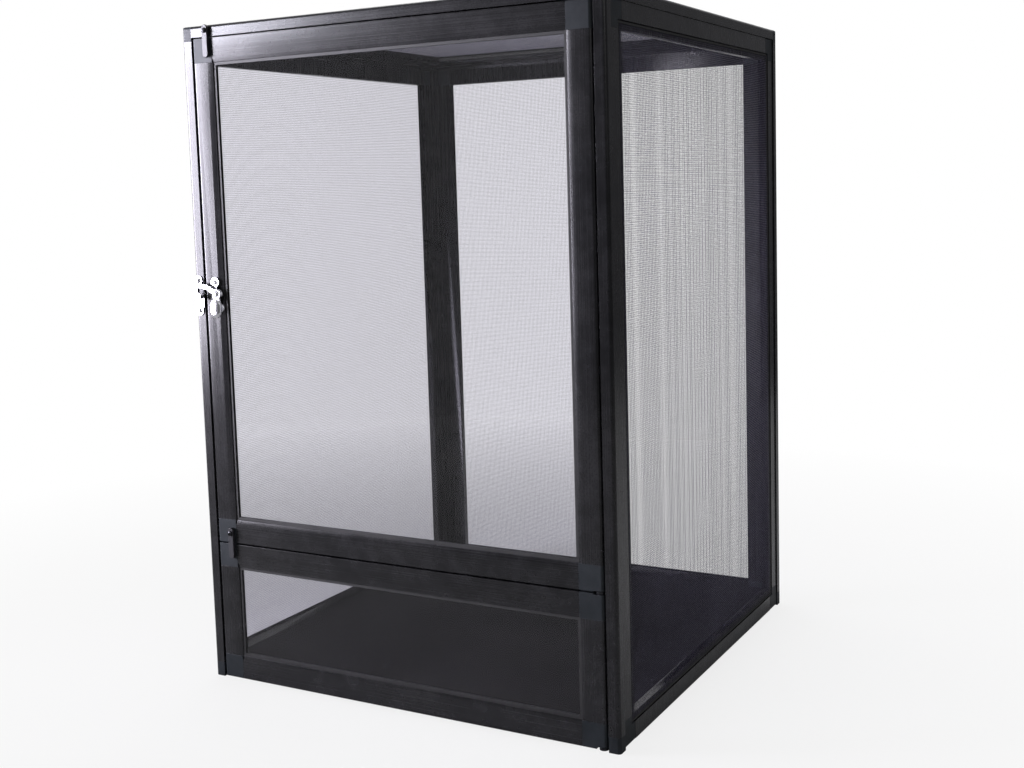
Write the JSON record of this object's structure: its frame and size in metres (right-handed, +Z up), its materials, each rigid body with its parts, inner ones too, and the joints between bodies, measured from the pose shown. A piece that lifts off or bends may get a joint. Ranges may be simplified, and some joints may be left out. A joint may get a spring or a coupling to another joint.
{
  "type": "reptile terrarium",
  "caption": "Tall screened reptile terrarium with a black aluminium frame, mesh sides, rear and top, hinged clear upper and lower front doors, a chrome latch and a solid floor.",
  "frame": {"origin": "on the ground, in the middle of the whole part's outline, latch knob included", "axes": "+Z up, the doors face -Y, their hinges are at +X"},
  "size_m": [0.406, 0.417, 0.585],
  "materials": {
    "black_aluminium": "black anodised, satin",
    "black_plastic": "moulded, fine grain",
    "floor": "black sheet, satin",
    "screen": "fine charcoal wire mesh",
    "rubber": "black extruded",
    "clear_pane": "clear acrylic sheet",
    "chrome": "polished",
    "steel": "zinc plated"
  },
  "bodies": {
    "frame": {"post_front_left": "black_aluminium", "post_front_right": "black_aluminium", "post_rear_left": "black_aluminium", "post_rear_right": "black_aluminium", "top_rail_front": "black_aluminium", "top_rail_rear": "black_aluminium", "top_rail_left": "black_aluminium", "top_rail_right": "black_aluminium", "base_rail_front": "black_aluminium", "base_rail_rear": "black_aluminium", "base_rails_side": "black_aluminium", "top_corner_connectors": "black_plastic", "bottom_corner_connectors": "black_plastic", "cross_bar": "black_aluminium", "cross_bar_brackets": "black_plastic", "floor_panel": "floor", "left_panel_bars": "black_aluminium", "left_panel_corners": "black_plastic", "left_panel_screen": "screen", "left_panel_spline": "rubber", "right_panel_bars": "black_aluminium", "right_panel_corners": "black_plastic", "right_panel_screen": "screen", "right_panel_spline": "rubber", "rear_panel_bars": "black_aluminium", "rear_panel_corners": "black_plastic", "rear_panel_screen": "screen", "rear_panel_spline": "rubber", "top_panel_bars": "black_aluminium", "top_panel_corners": "black_plastic", "top_panel_screen": "screen", "top_panel_spline": "rubber", "panel_screws": "steel", "hinge_plates": "steel", "hinge_pins": "steel", "hinge_screws": "steel", "keeper": "chrome", "keeper_screws": "chrome", "top_turn_button_screw": "steel"},
    "upper_door": {"upper_door_stiles": "black_aluminium", "upper_door_rails": "black_aluminium", "upper_door_corners": "black_plastic", "upper_door_pane": "clear_pane", "upper_door_gasket": "rubber", "upper_door_bushes": "steel", "latch_plate": "chrome", "latch_screws": "chrome", "latch_rivet": "chrome", "turn_button_screw": "steel"},
    "service_door": {"service_door_stiles": "black_aluminium", "service_door_rails": "black_aluminium", "service_door_corners": "black_plastic", "service_door_pane": "clear_pane", "service_door_gasket": "rubber", "service_door_bushes": "steel"},
    "latch_lever": {"latch_lever": "chrome", "latch_knob": "chrome"},
    "turn_button": {"turn_button": "black_plastic"},
    "top_turn_button": {"top_turn_button": "black_plastic"}
  },
  "joints": [
    {"name": "upper_door_hinge", "type": "hinge", "parent": "frame", "child": "upper_door", "pos_m": [0.1874, -0.1935, 0.35], "axis": [0, 0, 1], "range_deg": [0, 100]},
    {"name": "service_door_hinge", "type": "hinge", "parent": "frame", "child": "service_door", "pos_m": [0.1874, -0.1935, 0.063], "axis": [0, 0, 1], "range_deg": [0, 100]},
    {"name": "latch_pivot", "type": "hinge", "parent": "upper_door", "child": "latch_lever", "pos_m": [-0.1753, -0.1975, 0.352], "axis": [0, 1, 0], "range_deg": [0, 60]},
    {"name": "turn_button_pivot", "type": "hinge", "parent": "upper_door", "child": "turn_button", "pos_m": [-0.1748, -0.1975, 0.1363], "axis": [0, -1, 0], "range_deg": [0, 90]},
    {"name": "top_turn_button_pivot", "type": "hinge", "parent": "frame", "child": "top_turn_button", "pos_m": [-0.1748, -0.1975, 0.58], "axis": [0, -1, 0], "range_deg": [0, 90]}
  ]
}
